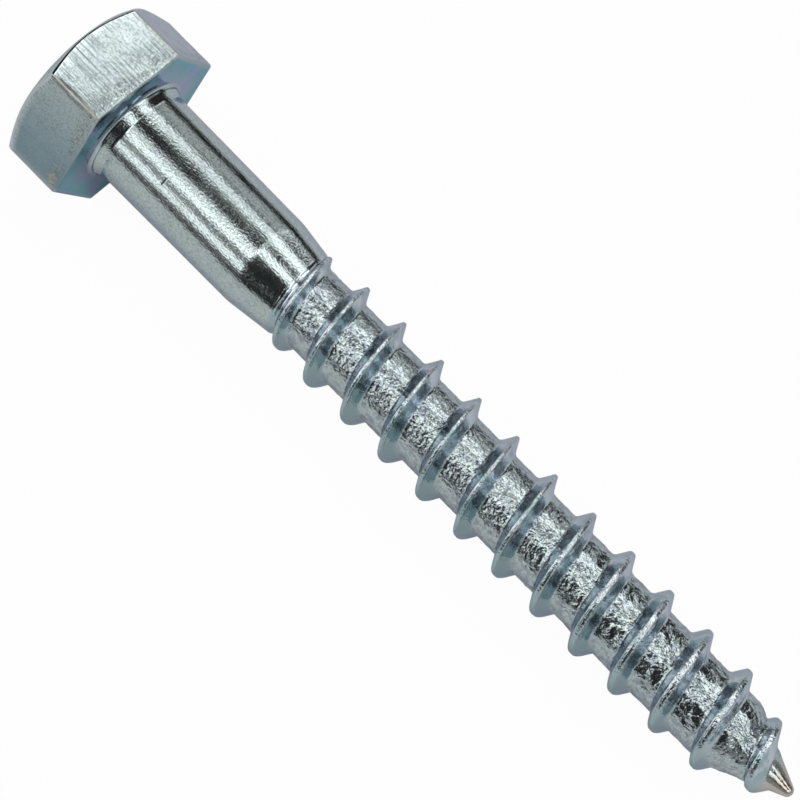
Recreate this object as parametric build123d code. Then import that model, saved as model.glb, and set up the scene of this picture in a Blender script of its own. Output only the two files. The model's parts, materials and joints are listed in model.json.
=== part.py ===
from build123d import *

import os
from itertools import pairwise
from math import atan2, ceil, cos, degrees, radians, sin, tan

# Lag screw: hexagon head, plain shank, coarse right-hand wood thread and gimlet point.
# It is drawn along +X with the bearing face under its head at X = 0 and one flat of its
# head on top, and is then laid down the way it comes to rest. Lengths are millimetres.

# Head
across_flats = 16.0
head_height = 6.75
crown_diameter = 15.1
crown_chamfer_angle = 32.0

# Neck under the head and plain shank
neck_diameter = 10.5
neck_land = 0.15
neck_length = 1.05
shank_diameter = 9.3
shank_length = 16.0

# Waist where the shank was drawn down for the thread
waist_length = 4.0
waist_diameter = 8.24
shoulder_length = 0.7

# Thread
screw_length = 79.2
thread_diameter = 9.6
root_diameter = 7.0
thread_pitch = 4.55
crest_width = 0.3
flank_angle = 30.0
thread_start_angle = -121.0
thread_start_overlap = 1.0
lead_in_length = 6.5
crest_fall_length = 9.7

# Gimlet point
point_angle = 46.0
tip_radius = 0.75

# How the ridge of the thread is drawn: a half turn to a piece, and with its foot buried
# in the core to this share of the core's radius
full_turn = 360.0
half_turn = full_turn / 2
sections_per_half_turn = 8
foot_share = 0.9

# Sizes that follow from those
crown_radius = crown_diameter / 2
neck_radius = neck_diameter / 2
shank_radius = shank_diameter / 2
waist_radius = waist_diameter / 2
root_radius = root_diameter / 2
thread_radius = thread_diameter / 2
waist_end = shank_length + waist_length
root_start = waist_end + shoulder_length
half_point = radians(point_angle / 2)
tip_centre = screw_length - tip_radius
tip_start = tip_centre + tip_radius * sin(half_point)
tip_start_radius = tip_radius * cos(half_point)
point_start = tip_start - (root_radius - tip_start_radius) / tan(half_point)
thread_start = waist_end - thread_start_overlap
thread_turns = (tip_centre - thread_start) / thread_pitch
crest_fall_start = screw_length - crest_fall_length
flank_slope = tan(radians(flank_angle))
foot_reach = crest_width / 2 + (thread_radius - foot_share * root_radius) * flank_slope

# Distance from the bearing face and radius of each corner of the core, head to tip
core_outline = [
    (0, neck_radius),
    (neck_land, neck_radius),
    (neck_length, shank_radius),
    (shank_length, shank_radius),
    (waist_end, waist_radius),
    (root_start, root_radius),
    (point_start, root_radius),
    (tip_start, tip_start_radius),
]


def core_radius(along):
    """Radius of the core at a distance from the bearing face, on its cone past the tip."""
    for (start, start_radius), (end, end_radius) in pairwise(core_outline):
        if along <= end:
            break
    return start_radius + (end_radius - start_radius) * (along - start) / (end - start)


def crest_radius(along):
    """Radius of the thread's crest: it rises out of the waist and dies away on the point."""
    if along < thread_start + lead_in_length:
        rise_share = (along - thread_start) / lead_in_length
        return waist_radius + (thread_radius - waist_radius) * rise_share
    fall_share = max(0, along - crest_fall_start) / crest_fall_length
    return thread_radius * (1 - fall_share**2)


def make_head():
    """Hexagon with a flat on top and below, its corners taken off by a cone."""
    hexagon = RegularPolygon(across_flats / 2, side_count=6, major_radius=False)
    blank = extrude(Plane.YZ * hexagon, -head_height)
    cone_spread = head_height / tan(radians(crown_chamfer_angle))
    crown = Polyline(
        (0, 0),
        (0, crown_radius + cone_spread),
        (-head_height, crown_radius),
        (-head_height, 0),
        close=True,
    )
    return blank & revolve(Plane.XZ * make_face(crown), axis=Axis.X)


def make_core():
    """Neck, shank, waist, thread root and pointed end, turned as one profile."""
    side = Polyline((0, 0), *core_outline)
    tip = CenterArc((tip_centre, 0), tip_radius, 0, 90 - degrees(half_point))
    axis_line = Line((screw_length, 0), (0, 0))
    profile = make_face([*side.edges(), *tip.edges(), *axis_line.edges()])
    return revolve(Plane.XZ * profile, axis=Axis.X)


def ridge_section(turns):
    """Section of the thread's ridge after some turns, with its foot inside the core."""
    along = thread_start + thread_pitch * turns
    foot = foot_share * core_radius(along + foot_reach)
    crest = crest_radius(along)
    half_crest = crest_width / 2
    half_foot = half_crest + (crest - foot) * flank_slope
    outline = Polyline(
        (along - half_foot, foot),
        (along - half_crest, crest),
        (along + half_crest, crest),
        (along + half_foot, foot),
        close=True,
    )
    return Rot(X=thread_start_angle + full_turn * turns) * (Plane.XZ * make_face(outline))


def make_thread():
    """Ridge of the thread as lofts that follow one another round the core."""
    pieces = ceil(thread_turns * full_turn / half_turn)
    step = thread_turns / (pieces * sections_per_half_turn)
    ridge = []
    for piece in range(pieces):
        first = piece * sections_per_half_turn
        places = range(first, first + sections_per_half_turn + 1)
        ridge.append(loft([ridge_section(step * place) for place in places]))
    return ridge


def resting_tilt():
    """Angle at which the screw lies, from the head's edge to the crest that touches first."""
    turns_to_bottom = (half_turn - thread_start_angle) % full_turn / full_turn
    first_low = thread_start + thread_pitch * turns_to_bottom
    low_crests = int((screw_length - first_low) / thread_pitch) + 1
    tilts = []
    for turn in range(low_crests):
        place = first_low + thread_pitch * turn
        drop = across_flats / 2 - crest_radius(place)
        tilts.append(degrees(atan2(drop, place + crest_width / 2)))
    return min(tilts)


screw = make_head() + make_core() + make_thread()
lying = Rot(Y=resting_tilt()) * screw
box = lying.bounding_box()
lag_screw = Pos(-box.center().X, -box.center().Y, -box.min.Z) * lying

os.makedirs("parts", exist_ok=True)
export_step(lag_screw, "parts/lag_screw.step")
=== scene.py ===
"""Looks of a lag screw: bright zinc plate on steel that was headed, trimmed, drawn and rolled."""

import json
import logging
import math
from dataclasses import dataclass, field
from enum import IntEnum, StrEnum

import bmesh
import bpy
import numpy as np
from mathutils import Matrix, Vector


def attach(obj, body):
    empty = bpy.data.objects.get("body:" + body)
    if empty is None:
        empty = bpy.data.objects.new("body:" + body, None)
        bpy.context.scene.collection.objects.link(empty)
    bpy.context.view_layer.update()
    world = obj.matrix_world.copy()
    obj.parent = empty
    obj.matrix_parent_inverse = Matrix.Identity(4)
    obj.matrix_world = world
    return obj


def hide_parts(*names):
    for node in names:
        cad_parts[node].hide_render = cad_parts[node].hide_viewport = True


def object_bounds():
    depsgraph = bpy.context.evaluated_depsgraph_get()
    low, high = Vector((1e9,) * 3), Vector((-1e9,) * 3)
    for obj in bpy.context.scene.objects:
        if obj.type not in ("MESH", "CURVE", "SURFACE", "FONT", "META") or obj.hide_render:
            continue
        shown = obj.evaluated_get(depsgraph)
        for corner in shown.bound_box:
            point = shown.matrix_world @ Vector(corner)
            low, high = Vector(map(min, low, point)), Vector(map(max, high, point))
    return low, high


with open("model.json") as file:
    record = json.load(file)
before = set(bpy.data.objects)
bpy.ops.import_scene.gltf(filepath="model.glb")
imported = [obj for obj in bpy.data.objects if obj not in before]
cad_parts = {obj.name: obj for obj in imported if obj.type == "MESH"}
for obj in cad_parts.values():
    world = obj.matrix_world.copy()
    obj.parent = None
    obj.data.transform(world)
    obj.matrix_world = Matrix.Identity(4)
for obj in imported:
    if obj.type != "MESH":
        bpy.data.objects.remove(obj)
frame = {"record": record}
CAD_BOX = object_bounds()

LOG = logging.getLogger("lag_screw")

# Lengths are millimetres in this script, apart from the studio's, and metres in the scene
MM = 0.001
FULL_TURN = 2 * math.pi
FLATS = 6
FLAT_TURN = FULL_TURN / FLATS
COLUMNS_PER_FLAT = 26
COLUMNS = FLATS * COLUMNS_PER_FLAT

# Points drawn on each rounded corner of an outline
CORNER_POINTS = 5

# Name under which the mesh keeps each point's own place on the screw, in millimetres
PLACE = "place_on_screw"

# How steep the noise texture is, as a mean rise over one of its cells, and how strong each finer
# layer of it is beside the layer before
NOISE_RISE = 0.6
NOISE_FADE = 0.6

# Sockets of the node that mixes colours
MIX_SHARE = 0
MIX_FROM = 6
MIX_TO = 7
MIXED = 2

# A size of an outline: one for all columns, or one to a column
Size = float | np.ndarray

# Distance along, radius and rounding of a corner of an outline
Corner = tuple[Size, Size, Size]

# Two numbers that go together, such as the ends of a range, or a length and a width
Pair = tuple[float, float]

# What feeds a node, a linear colour, a coat as its share and colour, and a layer of unevenness as its
# height and its depth, which is below 0 where the layer is sunk
Socket = bpy.types.NodeSocket
Colour = tuple[float, float, float, float]
Coat = tuple[Socket, Socket | Colour]
Layer = tuple[Socket, float]


class Zone(IntEnum):
    """Material slots of the screw, one for each way in which its steel was worked."""

    PRESSED = 0
    TRIMMED = 1
    DRAWN = 2
    ROLLED = 3


class Mark(StrEnum):
    """Shares that the mesh carries to its finishes, one to a point."""

    TORN = "torn"
    CRINKLED = "crinkled"
    # Share of blue film: real film under the head, and on the flats and the thread laid by which way they
    # face, as painted shade on their sides
    FILM_AND_SHADE = "film_and_shade"
    VIOLET = "violet"
    SATIN = "satin"
    WORN = "worn"
    BARE = "bare"


class Ease(StrEnum):
    """How a patch sets in over its edge."""

    EVEN = "LINEAR"
    SOFT = "SMOOTHSTEP"


def linear(hex_colour: str) -> Colour:
    """Turns an sRGB hex colour into a linear one.

    Args:
        hex_colour: Six hex digits after a hash sign.

    Returns:
        Red, green, blue and a full alpha.
    """
    channels = [int(hex_colour[i : i + 2], 16) / 255 for i in (1, 3, 5)]
    low = [c / 12.92 for c in channels]
    high = [((c + 0.055) / 1.055) ** 2.4 for c in channels]
    return (*[a if c <= 0.04045 else b for c, a, b in zip(channels, low, high)], 1.0)


def add_node(
    tree: bpy.types.NodeTree,
    kind: str,
    inputs: dict[str | int, object] | None = None,
    **settings: object,
) -> bpy.types.Node:
    """Adds one node with its settings, values and links.

    Args:
        tree: Node tree that takes the node.
        kind: Blender's type name of the node.
        inputs: What each input socket gets: an output socket is linked, anything else is a value.
        settings: Properties of the node itself.

    Returns:
        The new node.
    """
    node = tree.nodes.new(kind)
    for name, value in settings.items():
        setattr(node, name, value)
    for socket, value in (inputs or {}).items():
        if isinstance(value, Socket):
            tree.links.new(value, node.inputs[socket])
        else:
            node.inputs[socket].default_value = value
    return node


def smooth_step(start: Size, end: Size, value: Size) -> Size:
    """Eases from 0 to 1 as a value goes from start to end.

    Args:
        start: Value that gives 0.
        end: Value that gives 1.
        value: Values to ease.

    Returns:
        Shares from 0 to 1.
    """
    share = np.clip((value - start) / (end - start), 0, 1)
    return share * share * (3 - 2 * share)


def blended_max(first: np.ndarray, second: np.ndarray, fillet: Size) -> np.ndarray:
    """Takes the larger of two heights, with a rounded hollow where they cross.

    Args:
        first: One height.
        second: The other height.
        fillet: Difference in height at which the rounding starts.

    Returns:
        The joined height.
    """
    overlap = np.maximum(fillet - np.abs(first - second), 0) / fillet
    return np.maximum(first, second) + overlap * overlap * fillet / 4


def soften(outline: list[Corner]) -> list[list[np.ndarray]]:
    """Rounds the corners of a turned outline, or of one outline to each column.

    Args:
        outline: Distance along, radius and rounding of each corner, head to point.

    Returns:
        For each corner the points that it becomes, each with a distance along and a radius.
    """
    values = np.broadcast_arrays(*[value for corner in outline for value in corner[:2]])
    corners = [np.stack(pair).astype(float) for pair in zip(values[::2], values[1::2])]
    rounded = [[corners[0]]]
    for before, corner, after, (_, _, rounding) in zip(corners, corners[1:], corners[2:], outline[1:]):
        start = corner + (before - corner) * rounding / np.linalg.norm(before - corner, axis=0)
        end = corner + (after - corner) * rounding / np.linalg.norm(after - corner, axis=0)
        arc = []
        for share in np.linspace(0, 1, CORNER_POINTS):
            rest = 1 - share
            arc.append(rest * rest * start + 2 * rest * share * corner + share * share * end)
        rounded.append(arc)
    rounded.append([corners[-1]])
    return rounded


def between(start: np.ndarray, end: np.ndarray, shares: tuple[float, ...]) -> list[np.ndarray]:
    """Points on the straight stretch between two rounded corners."""
    return [start + (end - start) * share for share in shares]


def place(along: Size, radius: Size, angle: Size) -> np.ndarray:
    """Turns a place on the screw into a point in the screw's own axes.

    Args:
        along: Distance from the bearing face towards the point.
        radius: Distance from the centre line.
        angle: Turn from the top flat, clockwise as seen from the head.

    Returns:
        Points, one to a row.
    """
    along, radius, angle = np.broadcast_arrays(along, radius, angle)
    return np.stack([along, -radius * np.sin(angle), radius * np.cos(angle)], axis=-1)


def axes_matrix(first: Vector, second: Vector, third: Vector, origin: Vector) -> Matrix:
    """Makes the matrix that lays a thing's own axes along three directions.

    Args:
        first: Direction of its X axis.
        second: Direction of its Y axis.
        third: Direction of its Z axis.
        origin: Where its origin goes.

    Returns:
        The matrix.
    """
    matrix = Matrix((first, second, third)).transposed().to_4x4()
    matrix.translation = origin
    return matrix


@dataclass(frozen=True)
class Relief:
    """Seeded smooth unevenness of a worked steel surface.

    Attributes:
        size: Length of its waves.
        seed: Number that fixes the draw.
        waves: How many waves are added up.
        pace: Shortest and longest pace of a wave, beside one of that length.
    """

    size: float
    seed: int
    waves: int = 36
    pace: Pair = (0.6, 1.5)

    def at(self, spots: np.ndarray) -> np.ndarray:
        """Samples the unevenness.

        Args:
            spots: Points on the screw, one to a row.

        Returns:
            A height for each point, with a spread of about 1 round 0.
        """
        draw = np.random.default_rng(self.seed)
        directions = draw.normal(size=(self.waves, 3))
        directions /= np.linalg.norm(directions, axis=1, keepdims=True)
        pace = FULL_TURN / self.size * draw.uniform(*self.pace, self.waves)
        phases = draw.uniform(0, FULL_TURN, self.waves)
        swing = np.cos(spots @ (directions * pace[:, None]).T + phases)
        return swing.sum(axis=1) / math.sqrt(self.waves / 2)


class Skin:
    """Surface of the screw, gathered from the head to the point before it becomes one mesh."""

    def __init__(self) -> None:
        """Starts an empty surface."""
        self.spots: list[np.ndarray] = []
        self.marks: dict[Mark, list[np.ndarray]] = {mark: [] for mark in Mark}
        self.faces: list[tuple[int, ...]] = []
        self.zones: list[int] = []
        self.count = 0

    def add(self, spots: np.ndarray, **marks: Size) -> np.ndarray:
        """Adds points with the shares that they carry.

        Args:
            spots: Points in the screw's own axes, in an array of any shape.
            marks: Shares by name; those that aren't given are 0.

        Returns:
            The numbers of the points, in the shape in which they were given.
        """
        shape = spots.shape[:-1]
        size = int(np.prod(shape))
        self.spots.append(spots.reshape(size, 3))
        for mark in Mark:
            self.marks[mark].append(np.broadcast_to(marks.get(mark, 0.0), shape).reshape(size))
        numbers = np.arange(self.count, self.count + size).reshape(shape)
        self.count += size
        return numbers

    def patch(self, corners: np.ndarray, zone: Zone) -> None:
        """Adds faces, given by the numbers of their corners, one face to a row."""
        self.faces.extend(map(tuple, corners.tolist()))
        self.zones.extend([int(zone)] * len(corners))

    def cover(self, near: np.ndarray, far: np.ndarray, zone: Zone) -> None:
        """Spans two closed rings with faces, where a ring of one point is a pole.

        Args:
            near: Numbers of the ring nearer to the middle of the head's top.
            far: Numbers of the next ring.
            zone: Finish of the faces.
        """
        corners = [near, np.roll(near, -1), np.roll(far, -1), far]
        if len(near) == 1:
            corners = corners[1:]
        if len(far) == 1:
            corners = corners[:-1]
        self.patch(np.stack(np.broadcast_arrays(*corners), axis=1), zone)

    def extend(self, last: np.ndarray, spots: np.ndarray, zone: Zone, **marks: Size) -> np.ndarray:
        """Adds a closed ring, or a pole, and spans the way to it.

        Args:
            last: Numbers of the ring before it.
            spots: Points of the new ring.
            zone: Finish of the faces between the two.
            marks: Shares that the new points carry, by name.

        Returns:
            The numbers of the new ring.
        """
        ring = self.add(spots, **marks)
        self.cover(last, ring, zone)
        return ring

    def make(self, name: str, weld: float, resting_place: Matrix) -> bpy.types.Object:
        """Welds the surface into one closed mesh.

        Args:
            name: Name of the piece.
            weld: Distance within which points become one.
            resting_place: Matrix from the screw's own axes to the frame.

        Returns:
            The piece, in the frame and in metres.
        """
        mesh = bpy.data.meshes.new(name)
        spots = np.concatenate(self.spots)
        turn = np.array(resting_place.to_3x3())
        lying = spots * MM @ turn.T + np.array(resting_place.translation)
        mesh.from_pydata(lying.tolist(), [], self.faces)
        own_place = mesh.attributes.new(PLACE, "FLOAT_VECTOR", "POINT")
        own_place.data.foreach_set("vector", spots.astype(np.float32).ravel())
        mesh.polygons.foreach_set("material_index", np.array(self.zones, dtype=np.int32))
        for mark, values in self.marks.items():
            layer = mesh.attributes.new(mark, "FLOAT", "POINT")
            layer.data.foreach_set("value", np.concatenate(values).astype(np.float32))
        shape = bmesh.new()
        shape.from_mesh(mesh)
        bmesh.ops.remove_doubles(shape, verts=shape.verts, dist=weld * MM)
        shape.to_mesh(mesh)
        shape.free()
        mesh.shade_smooth()
        piece = bpy.data.objects.new(name, mesh)
        bpy.context.scene.collection.objects.link(piece)
        return piece


@dataclass
class Head:
    """Hexagon head: pressed top, corners taken off by a cone, trimmed flats and bearing face.

    Attributes:
        across_flats: Width across two flats.
        height: Height over the bearing face.
        crown_radius: Radius of the round top face.
        crown_angle: Slope of the cone under the top face, in radians.
        corner_round: Rounding between two flats.
        crown_round: Rounding of the edge of the top face.
        edge_round: Rounding between the cone and the flats, in the middle of a flat.
        worn_round: How much rounder that edge is at the corners.
        worn_reach: How far from a corner it is rounder, as a share of a flat.
        rim_round: Rounding of the edge under the flats.
        flat_crown: How far the flats fall away from true towards their corners.
        torn_height: Mean height of the torn strip that trimming leaves at the foot of the flats.
        torn_least: Least height of the strip.
        torn_stray: How far its height strays, as a share.
        torn_rise: How fast it sets in below its upper edge.
        torn_depth: Depth of the strip.
        corner_torn: Share of tearing on the corners between the flats.
        rim_torn: Share of tearing that goes on round the edge under the flats.
        tear: Unevenness of the strip.
        torn_edge: Unevenness of its upper edge.
        torn_edge_scale: Scale of that unevenness along the screw and across it.
        side_flat_shade: Share of blue film on a flat turned upright, painted there as shade.
        front_flat_shade: How much more film, as painted shade, a flat at the front has, and less at the
            back.
        film_loss: How much of the film under the head is lost towards the neck.
        film_span: Shares of the way to the neck over which it is lost.
        violet_span: Shares of the way to the neck over which the film turns violet.
        first_flat: Flat at which the columns start, counted from the top one to the front.
        corner_columns: Columns on each half of a rounded corner.
        top_shares: Where the top face is divided, from its middle to its edge.
        cone_shares: Where the cone is divided, from the top face to the flats.
        flat_shares: Where the flats are divided, from the cone to their foot.
        face_shares: Where the bearing face is divided, from its edge to the neck.
    """

    across_flats: float = 16.0
    height: float = 6.75
    crown_radius: float = 7.55
    crown_angle: float = math.radians(32)
    corner_round: float = 0.1
    crown_round: float = 0.18
    edge_round: float = 0.14
    worn_round: float = 0.14
    worn_reach: float = 0.25
    rim_round: float = 0.34
    flat_crown: float = 0.006
    torn_height: float = 1.3
    torn_least: float = 0.3
    torn_stray: float = 0.45
    torn_rise: float = 1.4
    torn_depth: float = 0.03
    corner_torn: float = 0.6
    rim_torn: float = 0.2
    tear: Relief = Relief(0.55, seed=11)
    torn_edge: Relief = Relief(1.6, seed=12)
    torn_edge_scale: tuple[float, float, float] = (0.2, 1.0, 1.0)
    side_flat_shade: float = 0.54
    front_flat_shade: float = 0.24
    film_loss: float = 0.4
    film_span: Pair = (0.3, 1.0)
    violet_span: Pair = (0.65, 1.0)
    first_flat: int = -2
    corner_columns: int = 3
    top_shares: tuple[float, ...] = (0.03, 0.25, 0.5, 0.75, 0.92)
    cone_shares: tuple[float, ...] = (0.35, 0.7)
    flat_shares: tuple[float, ...] = (
        *(0.1, 0.25, 0.4, 0.52, 0.62, 0.7),
        *(0.76, 0.81, 0.855, 0.895, 0.93, 0.965),
    )
    face_shares: tuple[float, ...] = (0.05, 0.2, 0.4, 0.6, 0.8, 1.0)

    def corner_turn(self) -> float:
        """Half the angle that a rounded corner takes, seen from the centre line."""
        half_flat = (self.across_flats / 2 - self.corner_round) * math.tan(FLAT_TURN / 2)
        return FLAT_TURN / 2 - math.atan2(half_flat, self.across_flats / 2)

    def columns(self) -> np.ndarray:
        """Works out the angles of the columns, some of them gathered on the rounded corners.

        Returns:
            An angle for each column.
        """
        corner = COLUMNS_PER_FLAT // 2
        stops = [0, corner - self.corner_columns, corner, corner + self.corner_columns, COLUMNS_PER_FLAT]
        corner_share = self.corner_turn() / FLAT_TURN
        places = [0, 0.5 - corner_share, 0.5, 0.5 + corner_share, 1]
        shares = np.interp(np.arange(COLUMNS_PER_FLAT), stops, places)
        flats = [self.first_flat + number for number in range(FLATS)]
        return np.concatenate([FLAT_TURN * (flat + shares) for flat in flats])

    def from_corner(self, angles: np.ndarray) -> np.ndarray:
        """Angle from each column to the nearest corner."""
        return np.abs(angles % FLAT_TURN - FLAT_TURN / 2)

    def shade_film_at(self, angles: np.ndarray) -> np.ndarray:
        """Share of blue film on the flats, laid by which way they face as painted shade: none on the top
        one, and most on the front one.
        """
        return np.sin(angles) ** 2 * (self.side_flat_shade + self.front_flat_shade * np.sin(angles))

    def torn_at(self, spots: np.ndarray) -> np.ndarray:
        """Share of tearing on the flats: full at their foot, up to an uneven upper edge."""
        limit = self.torn_height * (1 + self.torn_stray * self.torn_edge.at(spots * self.torn_edge_scale))
        return smooth_step(0, 1, self.torn_rise * (1 + spots[:, 0] / np.maximum(limit, self.torn_least)))

    def hexagon_at(self, angles: np.ndarray) -> np.ndarray:
        """Works out the radius of the hexagon with its rounded corners.

        Args:
            angles: Turns from the top flat.

        Returns:
            A radius for each angle.
        """
        half_width = self.across_flats / 2
        from_corner = self.from_corner(angles)
        from_flat = FLAT_TURN / 2 - from_corner
        corner_centre = (half_width - self.corner_round) / math.cos(FLAT_TURN / 2)
        reach = np.maximum(self.corner_round**2 - (corner_centre * np.sin(from_corner)) ** 2, 0)
        rounded = corner_centre * np.cos(from_corner) + np.sqrt(reach)
        hexagon = np.where(from_corner < self.corner_turn(), rounded, half_width / np.cos(from_flat))
        return hexagon - self.flat_crown * (from_flat / (FLAT_TURN / 2)) ** 2

    def build(self, skin: Skin, columns: np.ndarray, neck_radius: float) -> np.ndarray:
        """Covers the head from the middle of its top to the neck.

        Args:
            skin: Surface that takes the head.
            columns: Angles of the columns below the head.
            neck_radius: Radius at which the bearing face meets the neck.

        Returns:
            Numbers of the last ring, on the columns below the head.
        """
        angles = self.columns()
        from_corner = self.from_corner(angles)
        hexagon = self.hexagon_at(angles)
        edge = -self.height + (hexagon - self.crown_radius) * math.tan(self.crown_angle)
        near_corner = np.exp(-((from_corner / (self.worn_reach * FLAT_TURN)) ** 2))
        at_corner = np.exp(-((from_corner / self.corner_turn()) ** 2))
        outline = [
            (-self.height, 0.0, 0.0),
            (-self.height, self.crown_radius, self.crown_round),
            (edge, hexagon, self.edge_round + self.worn_round * near_corner),
            (0.0, hexagon, self.rim_round),
            (0.0, neck_radius, 0.0),
        ]
        middle, crown, cone_edge, rim, neck = soften(outline)

        # Top, its edge and the cone, which other screws have scuffed, and the edge of the cone
        top = between(middle[-1], crown[0], self.top_shares)
        cone = between(crown[-1], cone_edge[0], self.cone_shares)
        last = skin.add(place(np.array([-self.height]), 0.0, 0.0), worn=1.0)
        for along, radius in (*top, *crown, *cone):
            last = skin.extend(last, place(along, radius, angles), Zone.PRESSED, worn=1.0)
        for along, radius in cone_edge:
            last = skin.extend(last, place(along, radius, angles), Zone.PRESSED)

        # Flats and the edge under them
        flats = between(cone_edge[-1], rim[0], self.flat_shares)
        for number, (along, radius) in enumerate((*flats, *rim)):
            spots = place(along, radius, angles)
            tearing = 1.0 if number < len(flats) else self.rim_torn
            torn = np.maximum(self.torn_at(spots), self.corner_torn * at_corner) * tearing
            depth = self.torn_depth * torn * np.abs(self.tear.at(spots))
            # The film share darkens the side and front flats as painted shade
            marks = {Mark.TORN: torn, Mark.FILM_AND_SHADE: self.shade_film_at(angles), Mark.WORN: at_corner}
            last = skin.extend(last, place(along, radius - depth, angles), Zone.TRIMMED, **marks)

        # Bearing face, on which the columns move over to those of the thread
        face = between(rim[-1], neck[0], self.face_shares)
        for number, (along, radius) in enumerate(face, start=1):
            share = number / len(face)
            spots = place(along, radius, angles + (columns - angles) * share)
            film = 1 - self.film_loss * smooth_step(*self.film_span, share)
            marks = {Mark.FILM_AND_SHADE: film, Mark.VIOLET: smooth_step(*self.violet_span, share)}
            last = skin.extend(last, spots, Zone.PRESSED, **marks)
        return last


@dataclass
class Shank:
    """Neck under the head, plain drawn shank and the start of the waist.

    Attributes:
        neck_radius: Radius of the collar under the head.
        neck_land: Straight part of the collar.
        neck_length: Length of the collar with its cone.
        radius: Mean radius of the plain shank.
        taper: How much thicker the shank is at the neck, and thinner at its end.
        length: End of the plain shank, from the bearing face.
        waist_length: Length of the waist.
        waist_radius: Radius at the thin end of the waist.
        corner_round: Room for the hollow rounding where the collar meets the head.
        corner_share: Share of that room that the rounding takes.
        land_round: Rounding of the collar's edge.
        cone_round: Hollow rounding where the collar's cone meets the shank.
        waist_round: Rounding between the shank and the waist.
        run_gap: Gap at each end of the shank before its evenly spaced rings.
        run_rings: How many of those rings there are.
        dent: Distance from the bearing face and turn, in radians, of a dent in the plain shank.
    """

    neck_radius: float = 5.05
    neck_land: float = 0.4
    neck_length: float = 1.0
    radius: float = 4.65
    taper: float = 0.06
    length: float = 16.5
    waist_length: float = 3.5
    waist_radius: float = 4.12
    corner_round: float = 0.36
    corner_share: float = 0.9
    land_round: float = 0.04
    cone_round: float = 0.2
    waist_round: float = 0.3
    run_gap: float = 0.4
    run_rings: int = 16
    dent: Pair = (6.47, math.radians(36))

    def dent_place(self) -> tuple[float, float, float]:
        """Place of the dent in the plain shank."""
        along, turn = self.dent
        return tuple(place(along, self.radius, turn).tolist())

    def face_radius(self) -> float:
        """Radius at which the bearing face ends."""
        return self.neck_radius + self.corner_round

    def waist_at(self, along: Size) -> Size:
        """Radius of the waist's cone at a distance from the bearing face."""
        start = self.radius - self.taper
        return start + (self.waist_radius - start) * (along - self.length) / self.waist_length

    def build(self, skin: Skin, columns: np.ndarray, last: np.ndarray, end: float) -> np.ndarray:
        """Covers the neck, the shank and the waist as far as the thread.

        Args:
            skin: Surface that takes the shank.
            columns: Angles of the columns.
            last: Numbers of the ring at the end of the bearing face.
            end: Distance at which the thread takes over.

        Returns:
            Numbers of the last ring.
        """
        thick = self.radius + self.taper
        thin = self.radius - self.taper
        outline = [
            (0.0, self.face_radius(), 0.0),
            (0.0, self.neck_radius, self.corner_share * self.corner_round),
            (self.neck_land, self.neck_radius, self.land_round),
            (self.neck_length, thick, self.cone_round),
            (self.length, thin, self.waist_round),
            (end, self.waist_at(end), 0.0),
        ]
        points = [tuple(point) for corner in soften(outline)[1:] for point in corner]
        run = np.linspace(self.neck_length + self.run_gap, self.length - self.run_gap, self.run_rings)
        points += zip(run, np.interp(run, (self.neck_length, self.length), (thick, thin)))
        for along, radius in sorted(points):
            last = skin.extend(last, place(along, radius, columns), Zone.DRAWN)
        return last


@dataclass
class Point:
    """Gimlet point: the core tapers to a small round tip.

    Attributes:
        length: Length of the screw under its head.
        tip_radius: Radius of the tip.
        half_angle: Slope of the taper to the centre line, in radians.
        tip_rings: Rings on the tip.
    """

    length: float = 79.2
    tip_radius: float = 0.58
    half_angle: float = math.radians(24)
    tip_rings: int = 9

    @property
    def tip_centre(self) -> float:
        """Distance from the bearing face at which the tip is centred."""
        return self.length - self.tip_radius

    def cone_at(self, along: np.ndarray) -> np.ndarray:
        """Radius of the taper at a distance from the bearing face."""
        at_centre = self.tip_radius / math.cos(self.half_angle)
        return at_centre - (along - self.tip_centre) * math.tan(self.half_angle)

    def build(self, skin: Skin, columns: np.ndarray, last: np.ndarray) -> None:
        """Covers the tip.

        Args:
            skin: Surface that takes the tip.
            columns: Angles of the columns.
            last: Numbers of the ring where the thread stops.
        """
        for turn in np.linspace(self.half_angle, math.pi / 2, self.tip_rings, endpoint=False):
            along = self.tip_centre + self.tip_radius * math.sin(turn)
            spots = place(along, self.tip_radius * math.cos(turn), columns)
            last = skin.extend(last, spots, Zone.ROLLED, bare=1.0)
        skin.extend(last, place(np.array([self.length]), 0.0, 0.0), Zone.ROLLED, bare=1.0)


@dataclass(frozen=True)
class Grid:
    """Points on the thread, one row to a line along the ridge and one column to an angle.

    Attributes:
        along: Distance from the bearing face.
        centre: Distance at which the middle of the nearest ridge lies.
        turn: Turns from the start of the ridge, from 0 to 1.
        angle: Turn from the top flat.
        rows: Rows from one turn to the next.
    """

    along: np.ndarray
    centre: np.ndarray
    turn: np.ndarray
    angle: np.ndarray
    rows: int


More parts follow.
